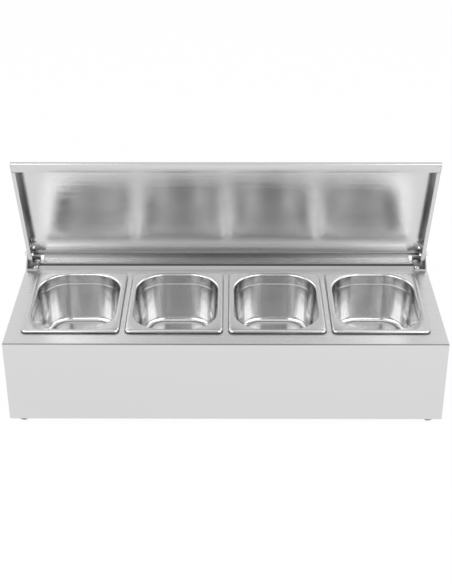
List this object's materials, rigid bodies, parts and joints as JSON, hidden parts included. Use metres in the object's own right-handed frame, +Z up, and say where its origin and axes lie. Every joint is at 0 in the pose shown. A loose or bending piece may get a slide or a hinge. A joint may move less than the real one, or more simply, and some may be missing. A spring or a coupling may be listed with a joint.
{
  "type": "condiment caddy",
  "caption": "Low stainless housing on domed feet, with lift-out gastronorm pans in its deck under one full-width hinged lid that closes over them.",
  "frame": {"origin": "middle of the housing's footprint, on the surface it stands on", "axes": "+X to the right along the front, +Y to the back, +Z up"},
  "size_m": [0.729, 0.2601, 0.4123],
  "materials": {
    "housing_steel": "fine satin, folded sheet",
    "base_steel": "mill finish sheet",
    "hinge_steel": "darker satin strip",
    "lid_steel": "bright satin sheet",
    "pan_steel": "bright drawn sheet, satin rim",
    "bright_fasteners": "bright plated",
    "foot_metal": "bright plated dome",
    "foot_rubber": "matte",
    "washer_plastic": "matte nylon"
  },
  "bodies": {
    "housing": {"front_panel": "housing_steel", "rear_panel": "housing_steel", "left_end_panel": "housing_steel", "right_end_panel": "housing_steel", "deck_plate": "housing_steel", "base_plate": "base_steel", "base_screws": "bright_fasteners", "foot_front_left": "foot_metal", "foot_front_right": "foot_metal", "foot_rear_left": "foot_metal", "foot_rear_right": "foot_metal", "foot_pads": "foot_rubber", "foot_studs": "bright_fasteners", "foot_nuts": "bright_fasteners", "left_hinge_bracket": "hinge_steel", "right_hinge_bracket": "hinge_steel", "bracket_screws": "bright_fasteners", "bracket_nuts": "bright_fasteners", "left_pivot_bolt": "bright_fasteners", "right_pivot_bolt": "bright_fasteners", "pivot_nuts": "bright_fasteners", "pivot_washers": "washer_plastic"},
    "lid": {"lid_shell": "lid_steel", "left_hinge_strap": "hinge_steel", "right_hinge_strap": "hinge_steel", "strap_bolts": "bright_fasteners", "strap_nuts": "bright_fasteners"},
    "insert_1": {"pan_1": "pan_steel"},
    "insert_2": {"pan_2": "pan_steel"},
    "insert_3": {"pan_3": "pan_steel"},
    "insert_4": {"pan_4": "pan_steel"}
  },
  "joints": [
    {"name": "lid_hinge", "type": "hinge", "parent": "housing", "child": "lid", "pos_m": [0, 0.118, 0.1852], "axis": [-1, 0, 0], "range_deg": [-72.5, 28]},
    {"name": "pan_1_lift", "type": "slide", "parent": "housing", "child": "insert_1", "axis": [0, 0, 1], "range_m": [0, 0.115]},
    {"name": "pan_2_lift", "type": "slide", "parent": "housing", "child": "insert_2", "axis": [0, 0, 1], "range_m": [0, 0.115]},
    {"name": "pan_3_lift", "type": "slide", "parent": "housing", "child": "insert_3", "axis": [0, 0, 1], "range_m": [0, 0.115]},
    {"name": "pan_4_lift", "type": "slide", "parent": "housing", "child": "insert_4", "axis": [0, 0, 1], "range_m": [0, 0.115]}
  ]
}
